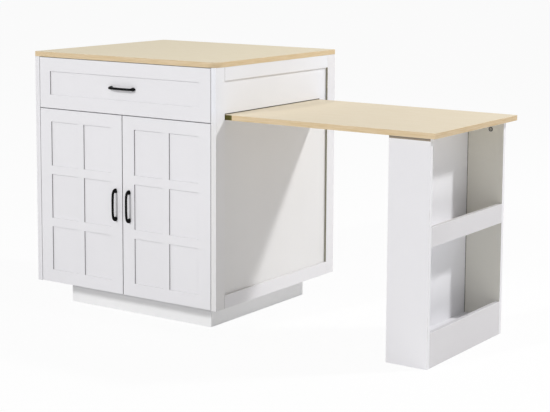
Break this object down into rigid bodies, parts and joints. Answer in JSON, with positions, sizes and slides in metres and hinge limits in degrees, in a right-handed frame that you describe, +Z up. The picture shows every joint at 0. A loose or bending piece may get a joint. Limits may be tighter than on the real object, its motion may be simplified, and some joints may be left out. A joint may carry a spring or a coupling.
{
  "type": "kitchen island",
  "caption": "White kitchen island with a drawer over panelled doors, a pale worktop, and a table leaf on an open shelf leg that pulls out through its side.",
  "frame": {"origin": "middle of the whole object's footprint on the floor, with the leaf pulled out", "axes": "+X from the cabinet to the pulled-out leaf, +Y from the drawer and doors to the back, +Z up"},
  "size_m": [1.575, 0.755, 0.914],
  "materials": {
    "white_board": "white satin lacquer on fibreboard",
    "cream_top": "pale cream laminate, satin",
    "raw_board": "raw fibreboard",
    "drawer_board": "white melamine",
    "back_board": "white hardboard",
    "black_pull": "matte black powder coat",
    "steel": "zinc-plated steel"
  },
  "bodies": {
    "cabinet": {"worktop": "cream_top", "left_side_panel": "white_board", "right_side_panel": "white_board", "left_front_stile": "white_board", "left_rear_stile": "white_board", "left_top_rail": "white_board", "left_bottom_rail": "white_board", "right_front_stile": "white_board", "right_rear_stile": "white_board", "right_top_rail": "white_board", "right_bottom_rail": "white_board", "back_panel": "back_board", "bottom_panel": "white_board", "leaf_deck": "white_board", "front_stretcher": "white_board", "rear_stretcher": "white_board", "front_leaf_guide": "raw_board", "rear_leaf_guide": "raw_board", "adjustable_shelf": "white_board", "shelf_pins": "steel", "plinth_front": "white_board", "plinth_back": "white_board", "plinth_left": "white_board", "plinth_right": "white_board", "left_runner_outer": "steel", "right_runner_outer": "steel", "hinge_plates": "steel", "hinge_arms": "steel"},
    "drawer": {"drawer_front": "white_board", "drawer_left_side": "drawer_board", "drawer_right_side": "drawer_board", "drawer_back": "drawer_board", "drawer_bottom": "drawer_board", "drawer_handle": "black_pull", "drawer_handle_screws": "steel", "left_runner_inner": "steel", "right_runner_inner": "steel"},
    "runner_middles": {"left_runner_middle": "steel", "right_runner_middle": "steel"},
    "leaf_table": {"leaf": "cream_top", "leaf_stop": "raw_board", "leg_near_panel": "white_board", "leg_far_panel": "white_board", "leg_back_panel": "white_board", "leg_mid_shelf": "white_board", "leg_mid_rail": "white_board", "leg_low_shelf": "white_board", "leg_low_rail": "white_board", "leg_cams": "steel"},
    "left_door_leaf": {"left_door": "white_board", "left_door_handle": "black_pull", "left_door_screws": "steel", "left_hinge_cups": "steel"},
    "right_door_leaf": {"right_door": "white_board", "right_door_handle": "black_pull", "right_door_screws": "steel", "right_hinge_cups": "steel"}
  },
  "joints": [
    {"name": "drawer_slide", "type": "slide", "parent": "cabinet", "child": "drawer", "axis": [0, -1, 0], "range_m": [0, 0.45]},
    {"name": "runner_slide", "type": "slide", "parent": "cabinet", "child": "runner_middles", "axis": [0, -1, 0], "range_m": [0, 0.225]},
    {"name": "left_door_hinge", "type": "hinge", "parent": "cabinet", "child": "left_door_leaf", "pos_m": [-0.7655, -0.3525, 0.3995], "axis": [0, 0, -1], "range_deg": [0, 105]},
    {"name": "right_door_hinge", "type": "hinge", "parent": "cabinet", "child": "right_door_leaf", "pos_m": [-0.0095, -0.3525, 0.3995], "axis": [0, 0, 1], "range_deg": [0, 105]},
    {"name": "leaf_slide", "type": "slide", "parent": "cabinet", "child": "leaf_table", "axis": [1, 0, 0], "range_m": [-0.607, 0]}
  ],
  "couplings": [
    {"joint": "runner_slide", "follows": "drawer_slide", "ratio": 0.5}
  ]
}
